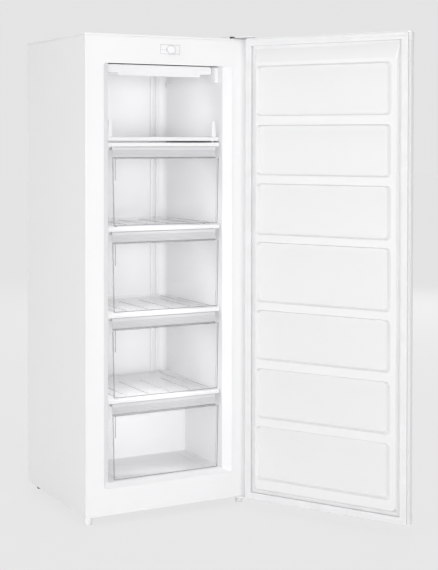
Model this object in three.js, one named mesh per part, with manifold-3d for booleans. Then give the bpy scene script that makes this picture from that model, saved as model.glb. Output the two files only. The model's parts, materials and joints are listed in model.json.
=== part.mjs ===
// An upright freezer with its door standing open: a foamed cabinet, a hinged door, four clear drawers on
// refrigerated shelves and a top compartment with a push-in flap.
// Millimetres, +Z up, the cabinet's front looks along -Y and the door is hinged on the +X side.
import * as THREE from "three";
import { mergeVertices } from "three/addons/utils/BufferGeometryUtils.js";
import { ConvexGeometry } from "three/addons/geometries/ConvexGeometry.js";
import Module from "manifold-3d";

const wasm = await Module();
wasm.setup();

// ---------------------------------------------------------------- driving dimensions

const FIT = 0.3; // gap that pieces in contact keep
const SHEET = 1; // painted steel sheet
const WALL = 1.5; // vacuum-formed liner

// Cabinet, from the left side (x 0) and the front frame (y 0), above the floor (z 0).
const WIDTH = 545;
const DEPTH = 480;
const BASE = 25;
const TOP = 1440;
const TOP_PANEL = 6;
const HINGE_SEAT = 0.5; // depth of the flat that the upper hinge stands in
const SHELL_TOP = TOP - TOP_PANEL - FIT;

// Opening in the front frame, and the storage space behind it.
const MOUTH = { x: [58, 487], z: [104, 1354], corner: 10 };
const CAVITY = { x: [80.5, 464.5], z: [116, 1358], back: 425, throat: 22, corner: 25 };
const STEP = { front: 275, top: 335, bevel: [300, 300] };
const LINER_FLANGE = 13;

// Compressor bay under the step, open to the back.
const BAY = { front: 324, roof: 284, bend: [352, 250] };

// Refrigerated shelves: the height of each plate's upper face, the top one under the ceiling.
const SHELF_LEVELS = [1119, 866.5, 610, 355];
const CEILING_PLATE = 1357.7;
const PLATE = { y: [40.3, 399], thick: 1 };
const TUBE = 3; // radius of the evaporator's tube
const RISER = { radius: 4, y: 418.5, supply: 433, back: 414 };
const TRIM = { x: [85.5, 459.7], front: 31.5, drop: 9.5, rise: 2 };

// Drawers.
const DRAWER = { x: [95.5, 449.5], front: 22.5, back: [400, 400, 400, 262], lift: [7.5, 7.5, 7.5, 3] };
const DRAWER_DRAFT = 5;
const TUB_CORNER = 5;
const TUB_WALL = 2.5;
const FLOOR_RIB = {
  starts: [[120, 140], [120, 210], [120, 280], [120, 350], [285, 140], [285, 210], [285, 280], [285, 350]],
  reach: [142, 96],
  width: 2.4,
  height: 1,
};
const BAND = { x: [99, 446.4], front: 33, height: 31, under: 10.2 };

// Top compartment.
const TRAY = { z: [1126, 1138.5], y: [44, 399], post: 1188, inset: 8 };
const FLAP = { x: [95.6, 449.4], front: 67, z: [1331, 1355], reach: 262, axis: [74, 1341], lip: 9 };

// Thermostat in the header.
const BEZEL = { x: [239.5, 306], z: [1384.5, 1414] };
const KNOB = { x: 277, z: 1398.5, radius: 13, front: -7.5 };

// Door, measured closed: its inner face lies in front of the frame, and it turns on a pin.
const OPEN_ANGLE = 119.2;
const PIN = { x: 537, y: -33, radius: 3 };
const DOOR = { z: [25.6, 1439.6], inner: -14, outer: -76, edge: 56, cap: 27.6 };
const GASKET = { margin: 4.4, face: -0.5 };
const PANEL = { margin: 36, draft: 3.5, z: [61.5, 1403], slope: 38, crest: -2, floor: -16 };
const POCKETS = { x: [56, 503], z: [94, 1354], corner: 12, draft: 4, slope: 18 };
const DOOR_RIBS = [[258, 283], [435, 461], [613, 636], [820, 841.5], [998, 1022], [1175, 1201]];
const GRIP = { x: [66, 120], z: [830, 990], depth: 30, hook: 16 };

// Feet and hinges.
const FRONT_FOOT = { x: [18, 527], y: 25, radius: 13 };
const REAR_FOOT = { x: [40, 505], y: 465, radius: 14 };
const HINGE_PLATE = 2.5;
const BRACKET = 3.5;

// Compressor.
const COMPRESSOR = { x: 400, y: 408, radius: 62, z: [46.3, 190] };

// The origin: under the middle of the box that holds the freezer with its door open.
const ORIGIN = { x: 408.47, y: -16.62 };

// ---------------------------------------------------------------- finishes

function finish(colour, roughness, metalness = 0, opacity = 1) {
  return new THREE.MeshStandardMaterial({
    color: colour,
    roughness,
    metalness,
    opacity,
    transparent: opacity < 1,
  });
}

const WHITE_PAINT = finish(0xf1f2f4, 0.35);
const WHITE_PLASTIC = finish(0xf3f4f5, 0.4);
const LINER_PLASTIC = finish(0xeeeef2, 0.3);
const GREY_PLASTIC = finish(0xc9ccd2, 0.45);
const CLEAR_PLASTIC = finish(0xe9eef2, 0.12, 0, 0.35);
const SOFT_VINYL = finish(0xe9eaec, 0.6);
const FOAM = finish(0xe7d9a8, 0.9);
const ZINC = finish(0xb9bdc2, 0.45, 0.9);
const COPPER = finish(0xb87345, 0.35, 1);
const BLACK_ENAMEL = finish(0x17181a, 0.4);
const BLACK_PLASTIC = finish(0x1e1f21, 0.5);

// ---------------------------------------------------------------- shapes

// A closed three.js geometry as a solid that can be joined and cut.
function solid(geometry) {
  const bare = geometry.index ? geometry.toNonIndexed() : geometry.clone();
  bare.deleteAttribute("normal");
  bare.deleteAttribute("uv");
  const merged = mergeVertices(bare, 1e-4);
  const corners = merged.index.array;
  const triangles = [];
  for (let i = 0; i < corners.length; i += 3) {
    const [a, b, c] = [corners[i], corners[i + 1], corners[i + 2]];
    if (a !== b && b !== c && c !== a) triangles.push(a, b, c);
  }
  const made = manifold(merged.attributes.position.array, triangles);
  return made.volume() > 0 ? made : manifold(merged.attributes.position.array, triangles.reverse());
}

function manifold(vertProperties, triangles) {
  const triVerts = Uint32Array.from(triangles);
  return new wasm.Manifold(new wasm.Mesh({ numProp: 3, vertProperties, triVerts }));
}

function join(first, ...others) {
  return others.reduce((whole, other) => whole.add(other), first);
}

function cut(first, ...others) {
  return others.reduce((rest, other) => rest.subtract(other), first);
}

// A box between two corners, given as its range along each axis.
function block([x0, x1], [y0, y1], [z0, z1]) {
  const geometry = new THREE.BoxGeometry(x1 - x0, y1 - y0, z1 - z0);
  geometry.translate((x0 + x1) / 2, (y0 + y1) / 2, (z0 + z1) / 2);
  return solid(geometry);
}

const X = new THREE.Vector3(1, 0, 0);
const Y = new THREE.Vector3(0, 1, 0);
const Z = new THREE.Vector3(0, 0, 1);
const LAY = {
  x: new THREE.Matrix4().makeBasis(Y, Z, X), // an outline in y and z, pushed along x
  y: new THREE.Matrix4().makeBasis(X, Z, Y.clone().negate()), // in x and z, along y
  z: new THREE.Matrix4(), // in x and y, along z
};

// A flat outline pushed along an axis from one level to another.
function prism(outline, axis, from, to, arcSteps = 2) {
  const settings = { depth: to - from, bevelEnabled: false, curveSegments: arcSteps };
  const geometry = new THREE.ExtrudeGeometry(outline, settings);
  geometry.applyMatrix4(LAY[axis]);
  const start = { x: [from, 0, 0], y: [0, to, 0], z: [0, 0, from] }[axis];
  geometry.translate(...start);
  return solid(geometry);
}

function polygon(points) {
  return new THREE.Shape(points.map(([a, b]) => new THREE.Vector2(a, b)));
}

function roundRect([a0, a1], [b0, b1], radius) {
  const outline = new THREE.Shape();
  outline.absarc(a1 - radius, b0 + radius, radius, -Math.PI / 2, 0);
  outline.absarc(a1 - radius, b1 - radius, radius, 0, Math.PI / 2);
  outline.absarc(a0 + radius, b1 - radius, radius, Math.PI / 2, Math.PI);
  outline.absarc(a0 + radius, b0 + radius, radius, Math.PI, Math.PI * 1.5);
  return outline;
}

function circle(a, b, radius) {
  return roundRect([a - radius, a + radius], [b - radius, b + radius], radius);
}

// The points of a closed outline, without its last point where that repeats the first.
function ring(outline, arcSteps = 2) {
  const points = outline.getPoints(arcSteps);
  if (points[0].distanceTo(points.at(-1)) < 1e-6) points.pop();
  return points;
}

// A skin through outlines of one point count that stand at several levels along an axis, closed at both ends.
function loft(axis, sections) {
  const rising = axis === "y" ? -1 : 1;
  const rings = [...sections]
    .sort((one, other) => rising * (one[0] - other[0]))
    .map(([level, points]) => points.map((p) => place(axis, p, level)));
  const count = rings[0].length;
  const corners = [];
  for (let level = 1; level < rings.length; level++) {
    const [low, high] = [rings[level - 1], rings[level]];
    for (let i = 0; i < count; i++) {
      const next = (i + 1) % count;
      corners.push(low[i], low[next], high[next], low[i], high[next], high[i]);
    }
  }
  const [first, last] = [rings[0], rings.at(-1)];
  for (let i = 1; i < count - 1; i++) {
    corners.push(first[0], first[i + 1], first[i], last[0], last[i], last[i + 1]);
  }
  return solid(new THREE.BufferGeometry().setFromPoints(corners));
}

function place(axis, point, level) {
  const at = { x: [level, point.x, point.y], y: [point.x, level, point.y], z: [point.x, point.y, level] };
  return new THREE.Vector3(...at[axis]);
}

// The convex body round the points of some outlines, each [outline, low, high] along z.
function hullZ(...slabs) {
  const points = slabs.flatMap(([outline, low, high]) =>
    ring(outline).flatMap((p) => [place("z", p, low), place("z", p, high)]),
  );
  return solid(new ConvexGeometry(points));
}

// A body of revolution about a line along z (or along y) through a point; the profile is [radius, level].
function turned(profile, [x, y, z], sides = 20, axis = "z") {
  const points = profile.map(([radius, level]) => new THREE.Vector2(radius, level));
  const geometry = new THREE.LatheGeometry(points, sides);
  if (axis === "z") geometry.rotateX(Math.PI / 2);
  geometry.translate(x, y, z);
  return solid(geometry);
}

// A line through points, walked from point to point in equal shares.
class Route extends THREE.Curve {
  constructor(points) {
    super();
    this.points = points;
  }
  getPoint(share, target = new THREE.Vector3()) {
    const along = Math.min(Math.max(share, 0), 1) * (this.points.length - 1);
    const index = Math.min(Math.floor(along), this.points.length - 2);
    return target.lerpVectors(this.points[index], this.points[index + 1], along - index);
  }
  getUtoTmapping(share) {
    return share;
  }
}

// A bent tube: straight between its corners, which are rounded over the length bend on each side.
function tube(corners, radius, bend, sides = 6, bendSteps = 2) {
  const at = corners.map((corner) => new THREE.Vector3(...corner));
  const points = [at[0]];
  for (let i = 1; i < at.length - 1; i++) {
    const before = at[i].clone().add(at[i - 1].clone().sub(at[i]).setLength(bend));
    const after = at[i].clone().add(at[i + 1].clone().sub(at[i]).setLength(bend));
    points.push(...new THREE.QuadraticBezierCurve3(before, at[i], after).getPoints(bendSteps));
  }
  points.push(at.at(-1));
  const section = polygon(
    Array.from({ length: sides }, (_, i) => {
      const turn = (i * 2 * Math.PI) / sides;
      return [radius * Math.cos(turn), radius * Math.sin(turn)];
    }),
  );
  const settings = { steps: points.length - 1, extrudePath: new Route(points), bevelEnabled: false };
  return solid(new THREE.ExtrudeGeometry(section, settings));
}

// A range made wider, or narrower with a negative amount, at both ends.
function grown([low, high], amount) {
  return [low - amount, high + amount];
}

// A named piece of the freezer.
function piece(parent, name, body, material) {
  const { vertProperties, triVerts } = body.getMesh();
  const geometry = new THREE.BufferGeometry();
  geometry.setAttribute("position", new THREE.BufferAttribute(vertProperties, 3));
  geometry.setIndex(new THREE.BufferAttribute(triVerts, 1));
  const mesh = new THREE.Mesh(geometry, material);
  mesh.name = name;
  parent.add(mesh);
}

// ---------------------------------------------------------------- cabinet

// The storage space, grown by the thickness of whatever wraps it. Its front flares out to the frame, and
// its back is stepped over the compressor.
function storageSpace(wrap, front) {
  const { x, z, back, throat, corner } = CAVITY;
  const side = polygon([
    [throat / 2, z[0] - wrap],
    [STEP.front + wrap, z[0] - wrap],
    [STEP.front + wrap, STEP.bevel[1]],
    [STEP.bevel[0], STEP.top - wrap],
    [back + wrap, STEP.top - wrap],
    [back + wrap, z[1] + wrap],
    [throat / 2, z[1] + wrap],
  ]);
  const plan = new THREE.Shape();
  const wide = grown(x, wrap);
  plan.moveTo(wide[0], throat / 2);
  plan.lineTo(wide[1], throat / 2);
  plan.absarc(wide[1] - corner, back + wrap - corner, corner, 0, Math.PI / 2);
  plan.absarc(wide[0] + corner, back + wrap - corner, corner, Math.PI / 2, Math.PI);
  const deep = prism(side, "x", ...wide).intersect(prism(plan, "z", z[0] - 10, z[1] + 10));
  const mouth = ring(roundRect(grown(MOUTH.x, 1 + wrap), [MOUTH.z[0] - 1 - wrap, z[1] + wrap], MOUTH.corner));
  const inner = ring(roundRect(grown(x, wrap), grown(z, wrap), MOUTH.corner));
  return join(deep, loft("y", [[front, mouth], [SHEET + FIT + 2, mouth], [throat, inner]]));
}

function linerFlange(wrap) {
  const x = grown(MOUTH.x, LINER_FLANGE + wrap);
  const z = [MOUTH.z[0] - LINER_FLANGE - wrap, CAVITY.z[1] + LINER_FLANGE + wrap];
  return block(x, [SHEET + FIT - wrap, SHEET + FIT + WALL + wrap], z);
}

// The liner carries a ledge under both ends of each shelf plate.
function innerLiner() {
  const ledges = SHELF_LEVELS.flatMap((level) =>
    [[CAVITY.x[0] - 1, CAVITY.x[0] + 9], [CAVITY.x[1] - 9, CAVITY.x[1] + 1]].map((x) =>
      block(x, [60, 395], [level - 9, level - PLATE.thick - FIT]),
    ),
  );
  const shell = cut(
    join(storageSpace(WALL, SHEET + FIT), linerFlange(0)),
    storageSpace(0, SHEET),
  );
  return join(shell, ...ledges);
}

function bayProfile(inset) {
  return polygon([
    [BAY.front - inset, BASE - 1],
    [BAY.front - inset, BAY.bend[1]],
    [BAY.bend[0], BAY.roof + inset],
    [DEPTH + 1, BAY.roof + inset],
    [DEPTH + 1, BASE - 1],
  ]);
}

function cabinetFoam() {
  const skin = SHEET + FIT;
  const whole = block(
    [2 * skin, WIDTH - 2 * skin],
    [2 * skin, DEPTH - 2 * skin],
    [BASE + skin, SHELL_TOP],
  );
  const pocket = block([246, 302], [2, 52], [1378, 1420]);
  const studs = FRONT_FOOT.x.map((x) => prism(circle(x, FRONT_FOOT.y, 5.5), "z", BASE, BASE + 22));
  return cut(
    whole,
    storageSpace(WALL + FIT, SHEET + FIT),
    linerFlange(FIT),
    prism(bayProfile(FIT), "x", -1, WIDTH + 1),
    pocket,
    ...studs,
  );
}

function frontFrame() {
  const plate = roundRect([0, WIDTH], [BASE, SHELL_TOP], 2);
  plate.holes.push(roundRect(MOUTH.x, MOUTH.z, MOUTH.corner), circle(KNOB.x, KNOB.z, 6));
  return prism(plate, "y", 0, SHEET);
}

// A side sheet with a hem behind the front frame and a return at the back; mirrored for the right side.
function sidePanel(mirrored) {
  const front = SHEET + FIT;
  const profile = [
    [0, front],
    [14, front],
    [14, front + SHEET],
    [SHEET, front + SHEET],
    [SHEET, DEPTH - SHEET],
    [18, DEPTH - SHEET],
    [18, DEPTH],
    [0, DEPTH],
  ].map(([x, y]) => [mirrored ? WIDTH - x : x, y]);
  return prism(polygon(profile), "z", BASE, SHELL_TOP);
}

// The top: a slab with a softened edge, let down a little where the upper hinge and its cover stand.
function topPanel() {
  const plan = (inset) => ring(roundRect([inset, WIDTH - inset], [inset, DEPTH - inset], 6 - inset));
  const slab = loft("z", [[TOP - TOP_PANEL, plan(0)], [TOP - 1.5, plan(0)], [TOP, plan(1.5)]]);
  return cut(slab, block([478, WIDTH + 1], [-1, 68], [TOP - HINGE_SEAT, TOP + 1]));
}

// The back sheet is stiffened by two pressed beads.
function rearPanel() {
  const y = [DEPTH - 2 * SHEET - FIT, DEPTH - SHEET - FIT];
  const sheet = block([SHEET + FIT, WIDTH - SHEET - FIT], y, [BAY.roof + SHEET + FIT, SHELL_TOP]);
  const beads = [150, WIDTH - 150].map((x) => {
    const root = y[1] - 0.5;
    const bead = polygon([[x - 12, y[1]], [x - 12, root], [x + 12, root], [x + 12, y[1]], [x, y[1] + 1.2]]);
    return prism(bead, "z", 400, 1330);
  });
  return join(sheet, ...beads);
}

// The floor of the cabinet: a tray with upstands against the sides and a hole for each levelling stud.
function basePan() {
  const [left, right] = [SHEET + FIT, WIDTH - SHEET - FIT];
  const upstand = BASE + 30;
  const profile = polygon([
    [left, BASE],
    [right, BASE],
    [right, upstand],
    [right - SHEET, upstand],
    [right - SHEET, BASE + SHEET],
    [left + SHEET, BASE + SHEET],
    [left + SHEET, upstand],
    [left, upstand],
  ]);
  const holes = FRONT_FOOT.x.map((x) => prism(circle(x, FRONT_FOOT.y, 5.2), "z", BASE - 1, BASE + 3));
  return cut(prism(profile, "y", 2 * SHEET + 2 * FIT, BAY.front - 1), ...holes);
}

// The bent sheet that closes the compressor bay to the front and above.
function bayDivider() {
  const sheet = cut(
    prism(bayProfile(0), "x", SHEET + FIT, WIDTH - SHEET - FIT),
    prism(bayProfile(-SHEET), "x", 0, WIDTH),
    block([0, WIDTH], [DEPTH - 2 * SHEET - 2 * FIT, DEPTH + 2], [0, TOP]),
    block([0, WIDTH], [0, DEPTH], [0, BASE]),
  );
  return sheet;
}

function buildCabinet(cabinet) {
  piece(cabinet, "front_frame", frontFrame(), WHITE_PAINT);
  piece(cabinet, "side_panel_left", sidePanel(false), WHITE_PAINT);
  piece(cabinet, "side_panel_right", sidePanel(true), WHITE_PAINT);
  piece(cabinet, "top_panel", topPanel(), WHITE_PLASTIC);
  piece(cabinet, "rear_panel", rearPanel(), ZINC);
  piece(cabinet, "base_pan", basePan(), ZINC);
  piece(cabinet, "bay_divider", bayDivider(), ZINC);
  piece(cabinet, "cabinet_foam", cabinetFoam(), FOAM);
  piece(cabinet, "inner_liner", innerLiner(), LINER_PLASTIC);
}

// ---------------------------------------------------------------- thermostat

function buildThermostat(cabinet) {
  const plate = roundRect(BEZEL.x, BEZEL.z, 4);
  plate.holes.push(circle(KNOB.x, KNOB.z, 6));
  piece(cabinet, "control_bezel", prism(plate, "y", -2.3, -FIT), WHITE_PLASTIC);

  const box = prism(roundRect([252, 296], [1381, 1416], 3), "y", SHEET + FIT, 46);
  const shaft = prism(circle(KNOB.x, KNOB.z, 3), "y", -5.6, 3, 1);
  piece(cabinet, "thermostat_body", join(box, shaft), BLACK_PLASTIC);

  const { radius, front } = KNOB;
  const dial = turned(
    [[0, front + 0.8], [radius - 3, front + 0.8], [radius - 1.5, front + 1.6], [radius, -2.6], [0, -2.6]],
    [KNOB.x, 0, KNOB.z],
    28,
    "y",
  );
  const pointer = block([KNOB.x - 1.6, KNOB.x + 1.6], [front, -3], grown([KNOB.z, KNOB.z], radius - 3));
  const bore = prism(circle(KNOB.x, KNOB.z, 3.4), "y", -5.9, 0, 1);
  piece(cabinet, "thermostat_knob", cut(join(dial, pointer), bore), WHITE_PLASTIC);
}

// ---------------------------------------------------------------- evaporator

// A refrigerated plate with its tube: the tube snakes from side to side under the plate and both its ends
// come out at the back, where the two risers stand.
function evaporatorPlate(level, front) {
  const plate = block(grown(CAVITY.x, -FIT), [front, PLATE.y[1]], [level - PLATE.thick, level]);
  const runs = 6;
  const pitch = 58;
  const bend = 20;
  const turnBack = 365;
  const turnFront = front + 26;
  const z = level - PLATE.thick - TUBE + 0.5;
  const end = RISER.y - RISER.radius - FIT;
  const corners = [[RISER.supply, end, z]];
  for (let run = 0; run < runs; run++) {
    const x = RISER.supply - run * pitch;
    const [from, to] = run % 2 ? [turnFront, turnBack] : [turnBack, turnFront];
    if (run > 0) corners.push([x, from, z]);
    corners.push([x, run === runs - 1 ? 388 : to, z]);
  }
  corners.push([RISER.back, 388, z], [RISER.back, end, z]);
  return join(plate, tube(corners, TUBE, bend));
}

// A front rail that clips over the edge of a shelf plate.
function shelfTrim(level) {
  const { front, drop, rise, x } = TRIM;
  const under = level - PLATE.thick - FIT;
  const over = level + FIT;
  return prism(
    polygon([
      [front, level - drop],
      [front + 3, level - drop],
      [front + 5, under - 2],
      [front + 18, under - 2],
      [front + 18, under],
      [front + 8, under],
      [front + 8, over],
      [front + 18, over],
      [front + 18, over + 1.2],
      [front + 2, level + rise],
      [front, level + rise - 1.5],
    ]),
    "x",
    ...x,
  );
}

function buildEvaporator(cabinet) {
  piece(cabinet, "evaporator_ceiling", evaporatorPlate(CEILING_PLATE, 100), WHITE_PAINT);
  SHELF_LEVELS.forEach((level, i) => {
    piece(cabinet, `evaporator_shelf_${i + 1}`, evaporatorPlate(level, PLATE.y[0]), WHITE_PAINT);
    piece(cabinet, `shelf_trim_${i + 1}`, shelfTrim(level), WHITE_PLASTIC);
  });
  for (const [name, x] of [["riser_supply", RISER.supply], ["riser_return", RISER.back]]) {
    const riser = prism(circle(x, RISER.y, RISER.radius), "z", STEP.top + FIT, CAVITY.z[1] - FIT, 1);
    piece(cabinet, name, riser, WHITE_PAINT);
  }
  const clip = block([456, CAVITY.x[1] - FIT], [387, 399], [1306, 1320]);
  piece(cabinet, "sensor_clip", clip, GREY_PLASTIC);
}

// ---------------------------------------------------------------- top compartment

// The tray over the uppermost shelf, with a raised lip all round and a tapered post at each front corner.
function topTray() {
  const { z, y, post } = TRAY;
  const x = grown(CAVITY.x, -1);
  const rim = block(x, y, z);
  const well = block(grown(x, -4), grown(y, -4), [z[0] + 2.2, z[1] + 1]);
  const feet = [90, 455].flatMap((footX) =>
    [70, 380].map((footY) => prism(circle(footX, footY, 5), "z", SHELF_LEVELS[0] + FIT, z[0] + 1, 1)),
  );
  const [left, right] = grown(x, -TRAY.inset);
  const posts = [[left, left + 15], [right - 15, right]].map((range, side) => {
    const narrow = side === 0 ? [range[0] + 5, range[1] - 1] : [range[0] + 1, range[1] - 5];
    const low = ring(roundRect(range, [y[0], y[0] + 12], 2));
    const high = ring(roundRect(narrow, [y[0] + 1, y[0] + 10], 2));
    return loft("z", [[z[1] - 2, low], [post, high]]);
  });
  return join(cut(rim, well), ...feet, ...posts);
}

// The flap: a front rail that the plate hangs from, a finger lip under it and a pin at each end.
function flapBody() {
  const { x, front, z, reach, axis } = FLAP;
  const rail = prism(roundRect(x, z, 7), "y", front, front + 10);
  const lip = prism(roundRect(grown(x, -38), [z[0] - FLAP.lip, z[0] + 9], 5), "y", front + 1, front + 4);
  const plate = block(grown(x, -5), [front + 8, reach], [axis[1] - 3, axis[1] - 0.5]);
  const ribs = [140, 272.5, 405].map((ribX) =>
    block([ribX - 1.5, ribX + 1.5], [front + 8, reach - 6], [axis[1] - 7, axis[1] - 2]),
  );
  const pins = prism(circle(...axis, 3.5), "x", x[0] - 9, x[1] + 9, 1);
  return join(rail, lip, plate, ...ribs, pins);
}

function flapBracket(side) {
  const x = side < 0 ? [CAVITY.x[0] + FIT, FLAP.x[0] - 2.6] : [FLAP.x[1] + 2.6, CAVITY.x[1] - FIT];
  const hole = side < 0 ? [x[1] - 7.5, x[1] + 1] : [x[0] - 1, x[0] + 7.5];
  const body = prism(roundRect([47, 90], [1305, 1354], 5), "x", ...x);
  return cut(body, prism(circle(...FLAP.axis, 4), "x", ...hole));
}

function buildTopCompartment(cabinet) {
  piece(cabinet, "top_tray", topTray(), WHITE_PLASTIC);
  piece(cabinet, "flap", flapBody(), WHITE_PLASTIC);
  piece(cabinet, "flap_bracket_left", flapBracket(-1), WHITE_PLASTIC);
  piece(cabinet, "flap_bracket_right", flapBracket(1), WHITE_PLASTIC);
}

// ---------------------------------------------------------------- drawers

// Shallow ribs across a tub's floor, all aslant: from the left at the back to the right at the front.
function floorRibs(level) {
  const { starts, reach, width, height } = FLOOR_RIB;
  const length = Math.hypot(...reach);
  const turn = THREE.MathUtils.radToDeg(Math.atan2(reach[1], reach[0]));
  const rib = block([0, length], [-width / 2, width / 2], [-0.5, height]);
  return starts.map(([x, y]) => rib.rotate([0, 0, -turn]).translate([x, y, level]));
}

// The clear tub: it narrows downwards and its front steps back under the handle band. Two runners glide
// over the trim, and the feet behind them glide on the plate and stop the drawer at the trim.
function drawerTub({ floor, sill, lift, top, back, ribbed }) {
  const bottom = floor + lift;
  const shoulder = top - BAND.height - 4;
  const neckFront = BAND.front + 3.8;
  const plan = (x, y, radius) => ring(roundRect(x, y, radius));
  const body = (wall, low, high, neckTop) => {
    const foot = plan(
      grown(DRAWER.x, -DRAWER_DRAFT - wall),
      [DRAWER.front + 2 + wall, back - DRAWER_DRAFT - wall],
      TUB_CORNER,
    );
    const mouth = plan(grown(DRAWER.x, -wall), [DRAWER.front + wall, back - wall], TUB_CORNER);
    const neck = plan(grown(DRAWER.x, -3 - wall), [neckFront + wall, back - wall], TUB_CORNER);
    return loft("z", [[low, foot], [high, mouth], [high + 4, neck], [neckTop, neck]]);
  };
  const outer = body(0, bottom, shoulder, top - 9);
  const inner = body(TUB_WALL, bottom + TUB_WALL, shoulder - 1.5, top);
  const runners = [124, 421].flatMap((x) => [
    block([x - 3, x + 3], [60, back - 20], [floor + sill + FIT, bottom + 1]),
    block([x - 3, x + 3], [back - 50, back - 20], [floor + FIT, bottom + 1]),
  ]);
  const ribs = ribbed ? floorRibs(bottom + TUB_WALL) : [];
  return join(cut(outer, inner), ...runners, ...ribs);
}

// The handle band: a ridged front that turns back over the tub's front wall.
function drawerHandle(top) {
  const { x, front, height } = BAND;
  const bottom = top - height;
  const ridges = Array.from({ length: 4 }, (_, i) => {
    const z = bottom + 3 + i * 4;
    return [[front + 1, z + 2.4], [front, z + 1.8], [front, z + 0.6], [front + 1, z]];
  }).reverse();
  return prism(
    polygon([
      [front + 3.4, bottom],
      [front + 3.4, top - 8.5],
      [front + 22, top - 8.5],
      [front + 22, top - 6],
      [front + 8, top],
      [front + 2, top],
      [front, top - 2],
      [front, top - 11],
      [front + 1.2, top - 12],
      ...ridges.flat(),
      [front + 1, bottom],
    ]),
    "x",
    ...x,
  );
}

function buildDrawers(cabinet) {
  const floors = [...SHELF_LEVELS.slice(1), CAVITY.z[0]];
  const sills = [TRIM.rise, TRIM.rise, TRIM.rise, 0];
  SHELF_LEVELS.forEach((ceiling, i) => {
    const drawer = new THREE.Group();
    cabinet.add(drawer);
    const top = ceiling - BAND.under;
    const tub = drawerTub({
      floor: floors[i],
      sill: sills[i],
      lift: DRAWER.lift[i],
      top,
      back: DRAWER.back[i],
      ribbed: i < 3,
    });
    piece(drawer, `drawer_tub_${i + 1}`, tub, CLEAR_PLASTIC);
    piece(drawer, `drawer_handle_${i + 1}`, drawerHandle(top), GREY_PLASTIC);
  });
}

// ---------------------------------------------------------------- compressor bay

function buildCompressorBay(cabinet) {
  const { x, y, radius, z } = COMPRESSOR;
  const [plateLow, crown] = z;
  const legs = [[x - 62, y - 48], [x + 62, y - 48], [x - 62, y + 48], [x + 62, y + 48]];
  const hat = prism(
    polygon([
      [340, BASE], [362, BASE], [362, 37.5], [458, 37.5], [458, BASE], [474, BASE],
      [474, BASE + 1.5], [459.5, BASE + 1.5], [459.5, 39],
      [360.5, 39], [360.5, BASE + 1.5], [340, BASE + 1.5],
    ]),
    "x",
    SHEET + FIT,
    WIDTH - SHEET - FIT,
  );
  const grommets = legs.map(([legX, legY]) => prism(circle(legX, legY, 8), "z", 38.5, plateLow - FIT, 1));
  piece(cabinet, "compressor_rail", join(hat, ...grommets), ZINC);

  const shellProfile = [
    [0, plateLow + 1], [40, plateLow + 1], [54, 56], [radius, 72], [radius, 112], [radius + 2, 113],
    [radius + 2, 117], [radius, 118], [radius - 3, 150], [radius - 14, 172], [radius - 32, 185], [0, crown],
  ];
  const plate = prism(roundRect([x - 74, x + 74], [y - 60, y + 60], 10), "z", plateLow, plateLow + 2.5);
  const shell = turned(shellProfile, [x, y, 0], 20);
  piece(cabinet, "compressor", join(plate, shell), BLACK_ENAMEL);

  const cover = prism(roundRect([x - 96, x - 40], [y - 26, y + 26], 6), "z", 78, 142);
  const seat = prism(circle(x, y, radius + 2.4), "z", 70, 150, 4);
  piece(cabinet, "relay_cover", cut(cover, seat), BLACK_PLASTIC);

  const dryX = 255;
  const dryY = BAY.front + SHEET + 13;
  const capsule = turned(
    [[0, 92], [3, 92], [9, 104], [9, 182], [3, 196], [0, 196]],
    [dryX, dryY, 0],
    12,
  );
  const saddle = block([dryX - 7, dryX + 7], [BAY.front + SHEET + FIT, dryY], [130, 148]);
  piece(cabinet, "drier_filter", join(capsule, saddle), COPPER);

  const leave = [x - 24, y - Math.sqrt((radius + 0.6) ** 2 - 24 ** 2)];
  const discharge = tube(
    [
      [...leave, 100], [leave[0], dryY, 100], [leave[0], dryY, 216], [dryX, dryY, 216], [dryX, dryY, 196.4],
    ],
    2.5,
    8,
  );
  piece(cabinet, "discharge_tube", discharge, COPPER);

  const suctionX = x + radius + 28;
  const suctionPath = [[x + radius + 0.6, y, 132], [suctionX, y, 132], [suctionX, y, BAY.roof - SHEET - FIT]];
  const suction = tube(suctionPath, 4, 16);
  piece(cabinet, "suction_tube", suction, COPPER);

  const glandY = BAY.front + SHEET + FIT;
  const gland = turned(
    [
      [4, glandY], [13, glandY], [13, glandY + 3], [8.5, glandY + 3],
      [6, glandY + 24], [4, glandY + 24], [4, glandY],
    ],
    [110, 0, 120],
    16,
    "y",
  );
  piece(cabinet, "cord_gland", gland, BLACK_PLASTIC);
}

// ---------------------------------------------------------------- hinges and feet

function hingeArm(low, high, baseX, baseY) {
  const eye = circle(PIN.x, PIN.y, 11);
  const root = roundRect(baseX, [baseY[0], baseY[0] + 8], 1);
  return join(
    hullZ([eye, low, high], [root, low, high]),
    prism(roundRect(baseX, baseY, 3), "z", low, high),
  );
}

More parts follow.
